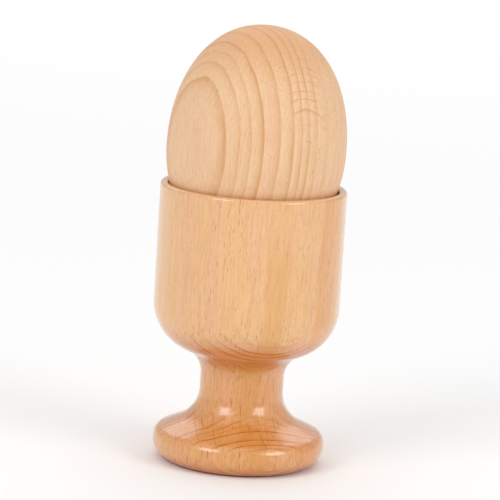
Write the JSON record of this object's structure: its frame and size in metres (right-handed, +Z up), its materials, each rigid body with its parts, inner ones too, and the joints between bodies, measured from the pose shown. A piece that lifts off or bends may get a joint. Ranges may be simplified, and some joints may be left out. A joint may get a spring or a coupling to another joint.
{
  "type": "egg shaker",
  "caption": "Turned wooden egg shaker with a plugged cavity of steel pellets, standing in a turned wooden egg cup with a waisted stem and a round foot.",
  "frame": {"origin": "centre of the underside of the cup's foot, on the surface that it stands on", "axes": "+Z up along the cup's axis; the egg's pointed end leans slightly towards +X; -Y is the side seen in front"},
  "size_m": [0.047, 0.047, 0.1111],
  "materials": {
    "cup_wood": "gloss",
    "egg_wood": "satin",
    "plug_wood": "satin",
    "pellet_steel": "polished"
  },
  "bodies": {
    "cup": {"cup": "cup_wood"},
    "egg": {"egg_shell": "egg_wood", "egg_plug": "plug_wood"},
    "pellet_01": {"pellet_01": "pellet_steel"},
    "pellet_02": {"pellet_02": "pellet_steel"},
    "pellet_03": {"pellet_03": "pellet_steel"},
    "pellet_04": {"pellet_04": "pellet_steel"},
    "pellet_05": {"pellet_05": "pellet_steel"},
    "pellet_06": {"pellet_06": "pellet_steel"},
    "pellet_07": {"pellet_07": "pellet_steel"},
    "pellet_08": {"pellet_08": "pellet_steel"},
    "pellet_09": {"pellet_09": "pellet_steel"},
    "pellet_10": {"pellet_10": "pellet_steel"},
    "pellet_11": {"pellet_11": "pellet_steel"},
    "pellet_12": {"pellet_12": "pellet_steel"},
    "pellet_13": {"pellet_13": "pellet_steel"},
    "pellet_14": {"pellet_14": "pellet_steel"},
    "pellet_15": {"pellet_15": "pellet_steel"},
    "pellet_16": {"pellet_16": "pellet_steel"},
    "pellet_17": {"pellet_17": "pellet_steel"},
    "pellet_18": {"pellet_18": "pellet_steel"},
    "pellet_19": {"pellet_19": "pellet_steel"}
  },
  "joints": [
    {"name": "egg_lift", "type": "slide", "parent": "cup", "child": "egg", "axis": [0, 0, 1], "range_m": [0, 0.06]},
    {"name": "pellet_01_rattle", "type": "slide", "parent": "egg", "child": "pellet_01", "axis": [0.0419, 0, 0.9991], "range_m": [0, 0.02646]},
    {"name": "pellet_02_rattle", "type": "slide", "parent": "egg", "child": "pellet_02", "axis": [0.0419, 0, 0.9991], "range_m": [0, 0.02646]},
    {"name": "pellet_03_rattle", "type": "slide", "parent": "egg", "child": "pellet_03", "axis": [0.0419, 0, 0.9991], "range_m": [0, 0.02646]},
    {"name": "pellet_04_rattle", "type": "slide", "parent": "egg", "child": "pellet_04", "axis": [0.0419, 0, 0.9991], "range_m": [0, 0.02646]},
    {"name": "pellet_05_rattle", "type": "slide", "parent": "egg", "child": "pellet_05", "axis": [0.0419, 0, 0.9991], "range_m": [0, 0.02646]},
    {"name": "pellet_06_rattle", "type": "slide", "parent": "egg", "child": "pellet_06", "axis": [0.0419, 0, 0.9991], "range_m": [0, 0.02646]},
    {"name": "pellet_07_rattle", "type": "slide", "parent": "egg", "child": "pellet_07", "axis": [0.0419, 0, 0.9991], "range_m": [0, 0.02646]},
    {"name": "pellet_08_rattle", "type": "slide", "parent": "egg", "child": "pellet_08", "axis": [0.0419, 0, 0.9991], "range_m": [0, 0.02646]},
    {"name": "pellet_09_rattle", "type": "slide", "parent": "egg", "child": "pellet_09", "axis": [0.0419, 0, 0.9991], "range_m": [0, 0.02646]},
    {"name": "pellet_10_rattle", "type": "slide", "parent": "egg", "child": "pellet_10", "axis": [0.0419, 0, 0.9991], "range_m": [0, 0.02646]},
    {"name": "pellet_11_rattle", "type": "slide", "parent": "egg", "child": "pellet_11", "axis": [0.0419, 0, 0.9991], "range_m": [0, 0.02646]},
    {"name": "pellet_12_rattle", "type": "slide", "parent": "egg", "child": "pellet_12", "axis": [0.0419, 0, 0.9991], "range_m": [0, 0.02646]},
    {"name": "pellet_13_rattle", "type": "slide", "parent": "egg", "child": "pellet_13", "axis": [0.0419, 0, 0.9991], "range_m": [0, 0.02646]},
    {"name": "pellet_14_rattle", "type": "slide", "parent": "egg", "child": "pellet_14", "axis": [0.0419, 0, 0.9991], "range_m": [0, 0.02646]},
    {"name": "pellet_15_rattle", "type": "slide", "parent": "egg", "child": "pellet_15", "axis": [0.0419, 0, 0.9991], "range_m": [0, 0.02646]},
    {"name": "pellet_16_rattle", "type": "slide", "parent": "egg", "child": "pellet_16", "axis": [0.0419, 0, 0.9991], "range_m": [0, 0.02646]},
    {"name": "pellet_17_rattle", "type": "slide", "parent": "egg", "child": "pellet_17", "axis": [0.0419, 0, 0.9991], "range_m": [0, 0.02646]},
    {"name": "pellet_18_rattle", "type": "slide", "parent": "egg", "child": "pellet_18", "axis": [0.0419, 0, 0.9991], "range_m": [0, 0.02646]},
    {"name": "pellet_19_rattle", "type": "slide", "parent": "egg", "child": "pellet_19", "axis": [0.0419, 0, 0.9991], "range_m": [0, 0.02646]}
  ]
}
